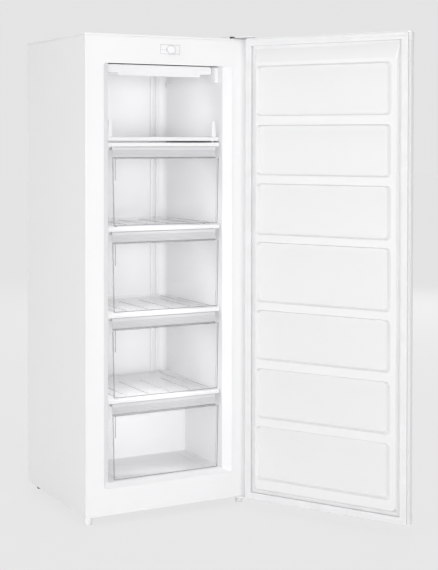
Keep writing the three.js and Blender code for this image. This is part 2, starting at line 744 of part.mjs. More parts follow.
function buildHinges(cabinet) {
  const armLow = TOP + FIT;
  const armHigh = armLow + HINGE_PLATE;
  const topPin = prism(circle(PIN.x, PIN.y, PIN.radius), "z", armLow - 23, armLow + 1);
  const topArm = hingeArm(armLow, armHigh, [486, 530], [8, 60]);
  const seatLow = TOP - HINGE_SEAT + FIT;
  const seat = prism(roundRect([486, 530], [8, 60], 3), "z", seatLow, armHigh);
  piece(cabinet, "top_hinge_plate", join(topArm, seat, topPin), ZINC);

  const coverPlan = (inset) => ring(roundRect(grown([480, 536], -inset), grown([5, 66], -inset), 8));
  const hump = loft("z", [[seatLow, coverPlan(0)], [TOP + 7, coverPlan(0)], [TOP + 10, coverPlan(5)]]);
  const hollow = block([482, 534], [0, 64], [TOP - 1, TOP + 6.5]);
  const nose = hullZ(
    [circle(PIN.x, PIN.y, 12), armHigh + FIT, armHigh + 2],
    [roundRect([500, 533], [6, 14], 1), armHigh + FIT, armHigh + 4.5],
  );
  piece(cabinet, "top_hinge_cover", join(cut(hump, hollow), nose), WHITE_PLASTIC);

  const plateHigh = BASE - FIT;
  const plateLow = plateHigh - BRACKET;
  const bottomPin = prism(circle(PIN.x, PIN.y, PIN.radius), "z", plateHigh - 1, plateHigh + 22);
  const studHole = prism(circle(FRONT_FOOT.x[1], FRONT_FOOT.y, 5), "z", plateLow - 1, plateHigh + 1);
  const bottomArm = hingeArm(plateLow, plateHigh, [498, 543], [8, 62]);
  piece(cabinet, "bottom_hinge_bracket", cut(join(bottomArm, bottomPin), studHole), WHITE_PAINT);
}

function buildFeet(cabinet) {
  const r = FRONT_FOOT.radius;
  const sole = [[0, 0], [r - 1, 0], [r, 1.5], [r, 7], [r - 4, 10], [7, 11]];
  const levelling = [...sole, [7, 19], [4, 20], [4, 44], [0, 44]];
  ["front_foot_left", "front_foot_right"].forEach((name, i) => {
    piece(cabinet, name, turned(levelling, [FRONT_FOOT.x[i], FRONT_FOOT.y, 0], 16), WHITE_PLASTIC);
  });
  const R = REAR_FOOT.radius;
  const glide = [[0, 0], [R - 2, 0], [R, 2], [R - 3, BASE - FIT], [0, BASE - FIT]];
  ["rear_foot_left", "rear_foot_right"].forEach((name, i) => {
    piece(cabinet, name, turned(glide, [REAR_FOOT.x[i], REAR_FOOT.y, 0], 16), BLACK_PLASTIC);
  });
}

// ---------------------------------------------------------------- door

// The door's plan, closed: square at the inner face, with both outer vertical edges well rounded.
function doorPlan(inset, inner = DOOR.inner - inset) {
  const [left, right, outer] = [inset, WIDTH - inset, DOOR.outer + inset];
  const radius = DOOR.edge - inset;
  const outline = new THREE.Shape();
  outline.moveTo(right, inner);
  outline.lineTo(left, inner);
  outline.absarc(left + radius, outer + radius, radius, Math.PI, Math.PI * 1.5);
  outline.absarc(right - radius, outer + radius, radius, Math.PI * 1.5, Math.PI * 2);
  return outline;
}

const DOOR_ARC = 4;

// The recessed grip's hollow, grown by whatever wraps it: a mouth in the outer skin and a chamber behind it
// that hooks under the skin towards the door's free edge.
function gripHollow(wrap, outer) {
  const neck = roundRect(grown(GRIP.x, wrap), grown(GRIP.z, wrap), 10 + wrap);
  const chamber = roundRect([GRIP.x[0] - GRIP.hook - wrap, GRIP.x[1] + wrap], grown(GRIP.z, wrap), 10 + wrap);
  const floor = DOOR.outer + GRIP.depth + wrap;
  return join(prism(neck, "y", outer, floor), prism(chamber, "y", DOOR.outer + 6 - wrap, floor));
}

function doorSkin() {
  const [low, high] = grown(DOOR.z, -DOOR.cap - FIT);
  const opening = roundRect(grown(GRIP.x, 2 + FIT), grown(GRIP.z, 2 + FIT), 12);
  return cut(
    prism(doorPlan(0), "z", low, high, DOOR_ARC),
    prism(doorPlan(SHEET), "z", low - 1, high + 1, DOOR_ARC),
    block([12, WIDTH - 12], [DOOR.inner - 2, DOOR.inner + 1], [low - 1, high + 1]),
    prism(opening, "y", DOOR.outer - 1, DOOR.outer + 3),
  );
}

// The inner panel: a raised field with drafted edges, let back at the top to pass the knob, and a row of
// shallow pockets between cross ribs.
function doorLiner() {
  const [low, high] = grown(DOOR.z, -DOOR.cap - FIT);
  const span = grown([0, WIDTH], -PANEL.margin);
  const flange = block([12 + FIT, WIDTH - 12 - FIT], [DOOR.inner - WALL, DOOR.inner], [low, high]);
  const root = ring(roundRect(span, PANEL.z, 12));
  const crestZ = [PANEL.z[0] + PANEL.draft, PANEL.z[1] - PANEL.slope];
  const crest = ring(roundRect(grown(span, -PANEL.draft), crestZ, 12));
  const field = loft("y", [[DOOR.inner - 1, root], [DOOR.inner, root], [PANEL.crest, crest]]);
  const backing = block(grown(span, -2), [PANEL.floor - WALL, DOOR.inner], grown(PANEL.z, -2));
  const levels = [POCKETS.z[0], ...DOOR_RIBS.flat(), POCKETS.z[1]];
  const pockets = [];
  for (let i = 0; i < levels.length; i += 2) {
    const z = [levels[i], levels[i + 1]];
    const mouth = ring(roundRect(POCKETS.x, z, POCKETS.corner));
    const floorX = [POCKETS.x[0] + POCKETS.slope, POCKETS.x[1] - POCKETS.draft];
    const floor = ring(roundRect(floorX, grown(z, -POCKETS.draft), POCKETS.corner));
    pockets.push(loft("y", [[PANEL.crest + 0.1, mouth], [PANEL.floor, floor]]));
  }
  return cut(join(flange, field, backing), ...pockets);
}

// The magnetic seal, with mitred corners: a base, two folds of bellows, a thin inner skirt and a sleeve for
// the magnet with a groove in its face. Its section is [inset from the door's edge, y].
function doorGasket() {
  const { margin, face } = GASKET;
  const seat = DOOR.inner + FIT;
  const section = [
    [margin + 4, seat], [34.2, seat], [34.5, -12.6], [33.5, -11.4], [27.5, -10.4], [24.6, -10.2],
    [23.2, -9.4], [25.2, -8.4], [23.8, -7.4], [25, -6.6], [25, face - 1.1], [24, face],
    [16.2, face], [15.4, face - 1], [14.6, face - 1], [13.8, face], [margin + 1, face],
    [margin, face - 1.1], [margin, -7.2], [margin + 1, -8.4], [9.6, -8.6], [10.4, -9.8], [margin + 4, -11],
  ];
  const ends = [[0, 0], [1, 0], [1, 1], [0, 1]].map(([right, up]) =>
    section.map(([inset, y]) => {
      const x = right ? WIDTH - inset : inset;
      const z = up ? DOOR.z[1] - inset : DOOR.z[0] + inset;
      return new THREE.Vector3(x, y, z);
    }),
  );
  const corners = [];
  ends.forEach((from, side) => {
    const to = ends[(side + 1) % ends.length];
    from.forEach((point, i) => {
      const next = (i + 1) % from.length;
      corners.push(point, from[next], to[next], point, to[next], to[i]);
    });
  });
  return solid(new THREE.BufferGeometry().setFromPoints(corners));
}

// An end cap: a moulded cup over the end of the door, with a boss for the hinge bush. It is drawn for the
// upper end and turned over for the lower one.
function doorCap(turnedOver) {
  const height = DOOR.cap;
  const level = (up) => (turnedOver ? DOOR.z[0] + height - up : DOOR.z[1] - height + up);
  const plan = (inset, inner) => ring(doorPlan(inset, inner), DOOR_ARC);
  const outer = loft("z", [
    [level(0), plan(-0.8, DOOR.inner)],
    [level(height - 3), plan(-0.8, DOOR.inner)],
    [level(height), plan(2, DOOR.inner)],
  ]);
  const span = (from, to) => [level(from), level(to)].sort((a, b) => a - b);
  const hollow = prism(doorPlan(2.5), "z", ...span(-1, height - 3.2), DOOR_ARC);
  const round = (radius, from, to) => prism(circle(PIN.x, PIN.y, radius), "z", ...span(from, to));
  const boss = round(8, 0, height - 3).intersect(prism(doorPlan(0), "z", ...span(0, height), DOOR_ARC));
  return cut(join(cut(outer, hollow), boss), round(5.1, 3, height + 1));
}

function hingeBush(low, high) {
  const wall = circle(PIN.x, PIN.y, 4.8);
  wall.holes.push(circle(PIN.x, PIN.y, PIN.radius + FIT));
  return prism(wall, "z", low, high);
}

function doorFoam() {
  const inner = PANEL.floor - WALL - FIT;
  const [low, high] = DOOR.z;
  const bosses = [[low - 1, low + DOOR.cap], [high - DOOR.cap, high + 1]].map((z) =>
    prism(circle(PIN.x, PIN.y, 8.5), "z", z[0] - FIT, z[1] + FIT),
  );
  return cut(
    join(
      prism(doorPlan(SHEET + FIT, inner), "z", low + DOOR.cap + 1, high - DOOR.cap - 1, DOOR_ARC),
      prism(doorPlan(2.5 + FIT, inner), "z", low + 3.6, high - 3.6, DOOR_ARC),
    ),
    ...bosses,
    gripHollow(2 + FIT, DOOR.outer - 1),
  );
}

function doorGrip() {
  const rim = roundRect(grown(GRIP.x, 7), grown(GRIP.z, 7), 16);
  const outer = join(
    gripHollow(2, DOOR.outer - 0.5),
    prism(rim, "y", DOOR.outer - 1.6, DOOR.outer - FIT),
  );
  return cut(outer, gripHollow(0, DOOR.outer - 3));
}

function buildDoor(cabinet) {
  const hinge = new THREE.Group();
  hinge.position.set(PIN.x, PIN.y, 0);
  hinge.rotation.z = THREE.MathUtils.degToRad(OPEN_ANGLE);
  cabinet.add(hinge);
  const leaf = new THREE.Group();
  leaf.position.set(-PIN.x, -PIN.y, 0);
  hinge.add(leaf);
  piece(leaf, "door_skin", doorSkin(), WHITE_PAINT);
  piece(leaf, "door_foam", doorFoam(), FOAM);
  piece(leaf, "door_liner", doorLiner(), LINER_PLASTIC);
  piece(leaf, "door_gasket", doorGasket(), SOFT_VINYL);
  piece(leaf, "door_top_cap", doorCap(false), WHITE_PLASTIC);
  piece(leaf, "door_bottom_cap", doorCap(true), WHITE_PLASTIC);
  piece(leaf, "hinge_bush_top", hingeBush(DOOR.z[1] - 24, DOOR.z[1] - 0.5), GREY_PLASTIC);
  piece(leaf, "hinge_bush_bottom", hingeBush(DOOR.z[0] + 0.5, DOOR.z[0] + 24), GREY_PLASTIC);
  piece(leaf, "door_grip", doorGrip(), GREY_PLASTIC);
}

// ---------------------------------------------------------------- the whole freezer

const freezer = new THREE.Group();
freezer.position.set(-ORIGIN.x, -ORIGIN.y, 0);
buildCabinet(freezer);
buildThermostat(freezer);
buildEvaporator(freezer);
buildTopCompartment(freezer);
buildDrawers(freezer);
buildCompressorBay(freezer);
buildHinges(freezer);
buildFeet(freezer);
buildDoor(freezer);

export default freezer;
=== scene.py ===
# The looks of an upright freezer that stands with its door open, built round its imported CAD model.
# Sizes of the new pieces are written in millimetres in the cabinet's own frame: x from its left side,
# y from its front frame towards the back, z from the floor. The door's pieces are drawn with the door closed.
# What is measured on or done to a CAD node's own mesh is in metres.
import json
import math

import bmesh
import bpy
from mathutils import Matrix, Vector

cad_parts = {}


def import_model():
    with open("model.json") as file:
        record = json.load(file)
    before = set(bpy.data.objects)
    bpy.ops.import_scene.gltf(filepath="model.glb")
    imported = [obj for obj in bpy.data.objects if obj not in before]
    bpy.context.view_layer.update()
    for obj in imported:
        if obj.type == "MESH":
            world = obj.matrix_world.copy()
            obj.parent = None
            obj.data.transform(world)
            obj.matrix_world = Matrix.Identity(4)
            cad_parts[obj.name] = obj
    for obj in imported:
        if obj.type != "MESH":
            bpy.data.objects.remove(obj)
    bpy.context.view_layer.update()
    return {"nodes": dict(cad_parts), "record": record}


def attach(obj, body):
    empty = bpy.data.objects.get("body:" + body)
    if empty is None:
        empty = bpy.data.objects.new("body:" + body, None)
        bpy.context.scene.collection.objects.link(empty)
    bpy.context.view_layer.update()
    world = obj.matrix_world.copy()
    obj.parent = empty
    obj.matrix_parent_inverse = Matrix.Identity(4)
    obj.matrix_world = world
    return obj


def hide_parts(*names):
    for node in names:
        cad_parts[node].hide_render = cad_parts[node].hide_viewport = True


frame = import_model()
nodes = frame["nodes"]
record = frame["record"]
scene = bpy.context.scene

BODY_OF = {node: body for body, group in record["behaviour"]["bodies"].items() for node in group}

# ---------------------------------------------------------------- places

PIN = Vector((537, -33, 0))
OPEN_ANGLE = math.radians(119.2)
CABINET = Matrix.Scale(0.001, 4) @ Matrix.Translation((-408.47, 16.62, 0))
SWUNG = Matrix.Translation(PIN) @ Matrix.Rotation(OPEN_ANGLE, 4, "Z") @ Matrix.Translation(-PIN)
DOOR = CABINET @ SWUNG

# ---------------------------------------------------------------- camera

PHOTO_WIDTH = 438
PHOTO_HEIGHT = 570
FOCAL_PIXELS = 1297.7
AXIS_ROW = 170.05  # the photograph's row that the lens axis meets, from the top
SENSOR = 36
CAMERA_AT = (-1.86987, -3.46648, 1.1279)
CAMERA_TURN = (88.69, -0.06, -28.64)  # degrees

camera_data = bpy.data.cameras.new("camera")
camera_data.sensor_fit = "HORIZONTAL"
camera_data.sensor_width = SENSOR
camera_data.lens = FOCAL_PIXELS * SENSOR / PHOTO_WIDTH
camera_data.shift_y = (AXIS_ROW - PHOTO_HEIGHT / 2) / PHOTO_WIDTH
camera_data.clip_start = 0.05
camera_data.clip_end = 100
camera = bpy.data.objects.new("camera", camera_data)
camera.location = CAMERA_AT
camera.rotation_euler = [math.radians(angle) for angle in CAMERA_TURN]
scene.collection.objects.link(camera)
scene.camera = camera

# ---------------------------------------------------------------- finishes


class Finish:
    """A material whose nodes read the piece's own coordinates."""

    def __init__(self, name):
        self.material = bpy.data.materials.new(name)
        self.material.use_nodes = True
        tree = self.material.node_tree
        self.nodes = tree.nodes
        self.links = tree.links
        self.shader = tree.nodes["Principled BSDF"]
        self.where = self.add("ShaderNodeTexCoord").outputs["Object"]

    def add(self, kind, **settings):
        node = self.nodes.new(kind)
        for key, value in settings.items():
            setattr(node, key, value)
        return node

    def socket(self, key):
        return self.shader.inputs[key.replace("_", " ").title().replace("Ior", "IOR")]

    def set(self, **values):
        for key, value in values.items():
            self.socket(key).default_value = value

    def noise(self, scale, detail=2.0, rough=0.5):
        texture = self.add("ShaderNodeTexNoise")
        texture.inputs["Scale"].default_value = scale
        texture.inputs["Detail"].default_value = detail
        texture.inputs["Roughness"].default_value = rough
        self.links.new(self.where, texture.inputs["Vector"])
        return texture.outputs["Fac"]

    def cells(self, scale, output="Color"):
        texture = self.add("ShaderNodeTexVoronoi", feature="F1")
        texture.inputs["Scale"].default_value = scale
        self.links.new(self.where, texture.inputs["Vector"])
        return texture.outputs[output]

    def ramp(self, factor, *stops):
        node = self.add("ShaderNodeValToRGB")
        points = node.color_ramp.elements
        while len(points) < len(stops):
            points.new(0.5)
        for point, (place, colour) in zip(points, stops):
            point.position = place
            point.color = (*colour, 1)
        self.links.new(factor, node.inputs["Fac"])
        return node.outputs["Color"]

    def between(self, factor, low, high, start=0.3, end=0.7):
        node = self.add("ShaderNodeMapRange")
        node.inputs["From Min"].default_value = start
        node.inputs["From Max"].default_value = end
        node.inputs["To Min"].default_value = low
        node.inputs["To Max"].default_value = high
        self.links.new(factor, node.inputs["Value"])
        return node.outputs["Result"]

    def relief(self, height, strength, depth, under=None):
        node = self.add("ShaderNodeBump")
        node.inputs["Strength"].default_value = strength
        node.inputs["Distance"].default_value = depth
        self.links.new(height, node.inputs["Height"])
        if under is not None:
            self.links.new(under, node.inputs["Normal"])
        return node.outputs["Normal"]

    def feed(self, **sockets):
        for key, source in sockets.items():
            self.links.new(source, self.socket(key))


def shade(colour, share):
    return tuple(channel * share for channel in colour)


def baked_paint(name, colour):
    """Powder-white paint on steel: a hint of orange peel, hardly any change of tone."""
    paint = Finish(name)
    tone = paint.noise(6, 3)
    paint.feed(
        base_color=paint.ramp(tone, (0.3, shade(colour, 0.992)), (0.7, colour)),
        roughness=paint.between(paint.noise(38, 2), 0.3, 0.4),
        normal=paint.relief(paint.noise(520, 2), 0.1, 0.0003),
    )
    paint.set(coat_weight=0.12, coat_roughness=0.15)
    return paint.material


def moulded_plastic(name, colour, low=0.36, high=0.48, grain=0.1):
    """Injection-moulded plastic with a fine spark-eroded grain and slow flow marks."""
    plastic = Finish(name)
    tone = plastic.noise(14, 3)
    flow = plastic.relief(plastic.noise(30, 1), 0.03, 0.0008)
    plastic.feed(
        base_color=plastic.ramp(tone, (0.3, shade(colour, 0.989)), (0.7, colour)),
        roughness=plastic.between(plastic.noise(110, 2), low, high),
        normal=plastic.relief(plastic.noise(2400, 3), grain, 0.0001, under=flow),
    )
    return plastic.material


def formed_liner(name, colour):
    """Vacuum-formed sheet: a soft gloss and a faint pebble grain."""
    liner = Finish(name)
    liner.feed(
        base_color=liner.ramp(liner.noise(5, 2), (0.3, shade(colour, 0.994)), (0.7, colour)),
        roughness=liner.between(liner.noise(18, 2), 0.33, 0.37),
        normal=liner.relief(liner.noise(900, 2), 0.05, 0.0001),
    )
    return liner.material


def clear_moulding(name, thin, slanted, faced=(0.9, 0.905, 0.92), along=(0.45, 0.46, 0.49)):
    """Clear drawer plastic: almost gone when faced, grey and dense where it is seen along its length."""
    clear = Finish(name)
    facing = clear.add("ShaderNodeLayerWeight")
    facing.inputs["Blend"].default_value = 0.5
    slant = facing.outputs["Facing"]
    density = [(0.0, thin), (0.6, slanted), (0.9, 0.16 + slanted), (1.0, 0.85)]
    clear.feed(
        base_color=clear.ramp(slant, (0.0, faced), (0.8, shade(faced, 0.91)), (1.0, along)),
        alpha=clear.ramp(slant, *[(place, (dense,) * 3) for place, dense in density]),
        roughness=clear.between(clear.noise(60, 2), 0.05, 0.12),
        normal=clear.relief(clear.noise(9, 2), 0.03, 0.001),
    )
    clear.set(specular_ior_level=0.5, ior=1.52)
    return clear.material


def seal_vinyl(name, colour):
    """Soft door seal: matt, slightly mottled, with a drawn grain."""
    vinyl = Finish(name)
    vinyl.feed(
        base_color=vinyl.ramp(vinyl.noise(22, 4), (0.3, shade(colour, 0.95)), (0.7, colour)),
        roughness=vinyl.between(vinyl.noise(160, 2), 0.5, 0.66),
        normal=vinyl.relief(vinyl.noise(1400, 3), 0.12, 0.00015),
    )
    vinyl.set(sheen_weight=0.1, sheen_roughness=0.4)
    return vinyl.material


def rigid_foam(name, colour):
    """Poured insulation: closed cells under a skin with darker swirls."""
    foam = Finish(name)
    cells = foam.cells(700, "Distance")
    foam.feed(
        base_color=foam.ramp(foam.noise(18, 5, 0.6), (0.25, shade(colour, 0.78)), (0.75, colour)),
        roughness=foam.between(foam.noise(200, 2), 0.8, 0.95),
        normal=foam.relief(cells, 0.5, 0.0006),
    )
    return foam.material


def zinc_sheet(name):
    """Galvanised sheet: spangle whose crystals differ in tone and gloss."""
    zinc = Finish(name)
    spangle = zinc.cells(85)
    zinc.feed(
        base_color=zinc.ramp(spangle, (0.1, (0.5, 0.515, 0.53)), (0.9, (0.66, 0.67, 0.68))),
        roughness=zinc.between(spangle, 0.34, 0.5, 0, 1),
        normal=zinc.relief(zinc.noise(300, 3), 0.06, 0.0002),
    )
    zinc.set(metallic=0.85)
    return zinc.material


def drawn_copper(name):
    """Copper tube: bright drawn metal with browner, duller patches."""
    copper = Finish(name)
    patches = copper.noise(45, 4, 0.6)
    copper.feed(
        base_color=copper.ramp(patches, (0.35, (0.5, 0.25, 0.14)), (0.65, (0.78, 0.43, 0.26))),
        roughness=copper.between(patches, 0.46, 0.28),
        normal=copper.relief(copper.noise(900, 2), 0.08, 0.0001),
    )
    copper.set(metallic=1.0)
    return copper.material


def black_enamel(name):
    """Stoved enamel on the compressor: deep black with a lumpy gloss."""
    enamel = Finish(name)
    lumps = enamel.noise(24, 3)
    enamel.feed(
        base_color=enamel.ramp(lumps, (0.3, (0.014, 0.014, 0.016)), (0.7, (0.026, 0.026, 0.029))),
        roughness=enamel.between(enamel.noise(70, 2), 0.26, 0.42),
        normal=enamel.relief(enamel.noise(380, 2), 0.25, 0.0004),
    )
    enamel.set(coat_weight=0.3, coat_roughness=0.12)
    return enamel.material


WHITE_PAINT = baked_paint("white_baked_paint", (0.886, 0.886, 0.89))
WHITE_PLASTIC = moulded_plastic("white_moulded_plastic", (0.89, 0.89, 0.895))
LINER_PLASTIC = formed_liner("white_formed_liner", (0.882, 0.88, 0.89))
DOOR_LINER_PLASTIC = formed_liner("white_formed_door_panel", (0.77, 0.77, 0.772))
# the crest and wall copies of the door panel's white are painted light: lighter tones that stand in for the
# light on those faces
DOOR_CREST_PAINTED_LIGHT = formed_liner("white_door_crest_painted_light", (0.795, 0.795, 0.797))
DOOR_WALL_PAINTED_LIGHT = formed_liner("white_door_wall_painted_light", (0.88, 0.88, 0.882))
GREY_PLASTIC = moulded_plastic("grey_moulded_plastic", (0.7, 0.7, 0.714), 0.3, 0.42)
# a darker copy of the handle grey: painted shade for the downward faces in the handle grooves
GROOVE_PAINTED_SHADE = moulded_plastic("grey_plastic_painted_groove_shade", (0.46, 0.46, 0.472), 0.36, 0.48)
CLEAR_PLASTIC = clear_moulding("clear_moulded_plastic", 0.02, 0.04)
# dark, dense clear plastic: painted shade for the lines along the tubs' front edges and under their bands
CLEAR_EDGE_PAINTED_SHADE = clear_moulding("clear_edge_painted_shade", 0.62, 0.68, (0.27, 0.272, 0.285), (0.2, 0.205, 0.215))
# dark, dense clear plastic for the floor ribs: painted shade strokes
CLEAR_RIB_PAINTED_SHADE = clear_moulding("clear_rib_painted_shade", 0.5, 0.54, (0.4, 0.403, 0.415), (0.36, 0.365, 0.375))
# dark, dense clear plastic for the tubs' front beads: painted shade lines
CLEAR_BEAD_PAINTED_SHADE = clear_moulding("clear_bead_painted_shade", 0.6, 0.66, (0.3, 0.303, 0.315), (0.24, 0.245, 0.255))
SEAL_VINYL = seal_vinyl("white_seal_vinyl", (0.8, 0.8, 0.805))
FOAM = rigid_foam("insulating_foam", (0.82, 0.72, 0.42))
ZINC = zinc_sheet("zinc_coated_sheet")
COPPER = drawn_copper("drawn_copper")
ENAMEL = black_enamel("black_stoved_enamel")
BLACK_PLASTIC = moulded_plastic("black_moulded_plastic", (0.03, 0.03, 0.033), 0.42, 0.56)
RUBBER = moulded_plastic("black_rubber", (0.022, 0.022, 0.023), 0.6, 0.75, 0.2)
# grey ink for the marks, also used for the painted shadow round the knob's rim
GREY_INK_AND_PAINTED_SHADOW = moulded_plastic("grey_ink_and_painted_shadow", (0.3, 0.305, 0.32), 0.4, 0.5, 0.03)
PALE_INK = moulded_plastic("pale_ink", (0.42, 0.425, 0.44), 0.4, 0.5, 0.03)

# ---------------------------------------------------------------- making pieces

SHARP = 42  # degrees; edges that turn by more stay sharp in the shading
FOLD = 28  # degrees; only edges that turn by more are rounded on a CAD node
SAME_POINT = 2e-6  # metres between two corners of a CAD mesh that are one


def settle(form, name, material, node, place=None, crease=SHARP):
    """Turns a finished form into a piece that rides on a CAD node's body."""
    if place is not None:
        bmesh.ops.transform(form, matrix=place, verts=form.verts[:])
    mesh = bpy.data.meshes.new(name)
    form.to_mesh(mesh)
    form.free()
    for one in material if isinstance(material, list) else [material]:
        mesh.materials.append(one)
    mesh.shade_smooth()
    mesh.set_sharp_from_angle(angle=math.radians(crease))
    piece = bpy.data.objects.new(name, mesh)
    scene.collection.objects.link(piece)
    shading = piece.modifiers.new("even_shading", "WEIGHTED_NORMAL")
    shading.keep_sharp = True
    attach(piece, BODY_OF[node])
    return piece


def stand_for(node, form, material, place=None, crease=SHARP):
    """Settles a form that is seen in place of a CAD node."""
    piece = settle(form, node + "_finished", material, node, place, crease)
    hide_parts(node)
    return piece


def made_node(node, form, material, crease=SHARP):
    """A form that is drawn anew in place of a CAD node."""
    stand_for(node, form, material, DOOR if BODY_OF[node] == "door" else CABINET, crease)


def let_light_through(piece):
    """Keeps a clear piece from shading what lies behind it."""
    piece.visible_shadow = False
    piece.visible_diffuse = False


def cad_copy(node):
    """A node's loose triangles merged and its flat faces made whole again."""
    form = bmesh.new()
    form.from_mesh(nodes[node].data)
    bmesh.ops.remove_doubles(form, verts=form.verts[:], dist=SAME_POINT)
    bmesh.ops.dissolve_limit(form, angle_limit=math.radians(1), verts=form.verts[:], edges=form.edges[:])
    return form


def edges_over(form, angle):
    """The edges whose two faces turn by more than an angle, in degrees."""
    limit = math.radians(angle)
    return [edge for edge in form.edges if len(edge.link_faces) == 2 and edge.calc_face_angle(0) > limit]


def round_edges(form, edges, radius, steps):
    """Rounds edges over and gives the faces that this makes."""
    made = bmesh.ops.bevel(
        form,
        geom=edges,
        offset=radius,
        offset_type="OFFSET",
        segments=steps,
        profile=0.5,
        affect="EDGES",
        clamp_overlap=True,
        material=-1,
    )
    return made["faces"]


def finished_node(node, material, radius=0.0, steps=2):
    """A CAD node with its edges rounded, in mm, standing for the node."""
    form = cad_copy(node)
    if radius:
        round_edges(form, edges_over(form, FOLD), radius / 1000, steps)
    stand_for(node, form, material)


def turned(profile, at=(0, 0, 0), axis=2, closed=False, steps=64):
    """A round form spun from (radius, level) points about its own axis."""
    form = bmesh.new()
    corners = []
    for radius, level in profile:
        corner = Vector((0, 0, 0))
        corner[axis] = level
        corner[0 if axis else 2] = radius
        corners.append(form.verts.new(corner))
    pairs = list(zip(corners, corners[1:])) + ([(corners[-1], corners[0])] if closed else [])
    for pair in pairs:
        form.edges.new(pair)
    line = Vector((0, 0, 0))
    line[axis] = 1
    bmesh.ops.spin(
        form,
        geom=form.verts[:] + form.edges[:],
        cent=(0, 0, 0),
        axis=line,
        angle=math.tau,
        steps=steps,
        use_merge=True,
    )
    bmesh.ops.remove_doubles(form, verts=form.verts[:], dist=0.0005)
    bmesh.ops.recalc_face_normals(form, faces=form.faces[:])
    bmesh.ops.translate(form, vec=at, verts=form.verts[:])
    return form


def slab(x, y, z, radius=0.0, steps=2, upright=0.0):
    """A block between two levels on each axis, its edges rounded, or first its corners in plan by upright."""
    form = bmesh.new()
    bmesh.ops.create_cube(form, size=1)
    bmesh.ops.scale(form, vec=[high - low for low, high in (x, y, z)], verts=form.verts[:])
    bmesh.ops.translate(form, vec=[(low + high) / 2 for low, high in (x, y, z)], verts=form.verts[:])
    if upright:
        standing = [e for e in form.edges if abs(e.verts[0].co.z - e.verts[1].co.z) > 1e-4]
        round_edges(form, standing, upright, 6)
    if radius:
        round_edges(form, edges_over(form, 40), radius, steps)
    return form


def bar(start, end, depth, width, radius, steps, over=0.0):
    """A flat bar on an upright face, from one (x, z) to another; over lengthens it past both ends."""
    start, end = Vector(start), Vector(end)
    run = end - start
    form = slab([-over, run.length + over], depth, [-width / 2, width / 2], radius, steps)
    turn = Matrix.Rotation(-math.atan2(run.y, run.x), 4, "Y")
    bmesh.ops.transform(form, matrix=Matrix.Translation((start.x, 0, start.y)) @ turn, verts=form.verts[:])
    return form


def gathered(forms):
    """Several forms as one."""
    whole = bmesh.new()
    for form in forms:
        part = bpy.data.meshes.new("part")
        form.to_mesh(part)
        form.free()
        whole.from_mesh(part)
        bpy.data.meshes.remove(part)
    return whole


BEND_STEPS = 8


def bent_tube(node, points, radius, bend, material):
    """A tube along straight runs with rounded bends, standing for a CAD node."""
    path = [Vector(points[0])]
    for before, corner, after in zip(points, points[1:], points[2:]):
        corner = Vector(corner)
        back, ahead = (Vector(before) - corner), (Vector(after) - corner)
        start = corner + back.normalized() * min(bend, back.length / 2)
        end = corner + ahead.normalized() * min(bend, ahead.length / 2)
        for step in range(BEND_STEPS + 1):
            t = step / BEND_STEPS
            path.append(start * (1 - t) ** 2 + corner * 2 * t * (1 - t) + end * t * t)
    path.append(Vector(points[-1]))
    curve = bpy.data.curves.new(node + "_finished", "CURVE")
    curve.dimensions = "3D"
    curve.bevel_depth = radius / 1000
    curve.bevel_resolution = 6
    curve.use_fill_caps = True
    line = curve.splines.new("POLY")
    line.points.add(len(path) - 1)
    for point, place in zip(line.points, path):
        point.co = (*(CABINET @ place), 1)
    curve.materials.append(material)
    piece = bpy.data.objects.new(node + "_finished", curve)
    scene.collection.objects.link(piece)
    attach(piece, BODY_OF[node])
    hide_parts(node)


# ---------------------------------------------------------------- CAD nodes with rounded edges

# node, finish and, where its edges are rounded, their radius in mm and the steps of the rounding
FINISHED = [
    ("front_frame", WHITE_PAINT, 0.3),
    ("side_panel_left", WHITE_PAINT, 0.4),
    ("side_panel_right", WHITE_PAINT, 0.4),
    ("top_panel", WHITE_PLASTIC, 0.5),
    ("rear_panel", ZINC),
    ("base_pan", ZINC, 0.3, 1),
    ("bay_divider", ZINC, 0.3, 1),
    ("inner_liner", LINER_PLASTIC, 0.4),
    ("control_bezel", WHITE_PLASTIC, 0.5),
    ("thermostat_body", BLACK_PLASTIC, 0.4, 1),
    ("evaporator_ceiling", WHITE_PAINT),
    *((f"evaporator_shelf_{number}", WHITE_PAINT) for number in range(1, 5)),
    *((f"shelf_trim_{number}", WHITE_PLASTIC, 0.4) for number in range(1, 5)),
    ("riser_supply", WHITE_PAINT),
    ("riser_return", WHITE_PAINT),
    ("sensor_clip", GREY_PLASTIC, 0.8),
    ("top_tray", WHITE_PLASTIC, 0.8),
    ("flap", WHITE_PLASTIC, 0.6),
    ("flap_bracket_left", WHITE_PLASTIC, 0.5),
    ("flap_bracket_right", WHITE_PLASTIC, 0.5),
    ("relay_cover", BLACK_PLASTIC, 1.0),
    ("compressor_rail", ZINC),
    ("top_hinge_plate", ZINC, 0.4),
    ("top_hinge_cover", WHITE_PLASTIC, 0.6),
    ("bottom_hinge_bracket", WHITE_PAINT, 0.6),
    ("door_skin", WHITE_PAINT),
    ("door_gasket", SEAL_VINYL),
    ("door_top_cap", WHITE_PLASTIC, 0.8),
    ("door_bottom_cap", WHITE_PLASTIC, 0.8),
    ("door_grip", GREY_PLASTIC, 0.8),
]
for row in FINISHED:
    finished_node(*row)

# ---------------------------------------------------------------- the door's inner panel

PANEL_ROUNDING = 0.0032  # metres
CREST_DEPTH = -10  # mm; the panel's crests lie nearer to the cabinet than this, its pocket floors deeper


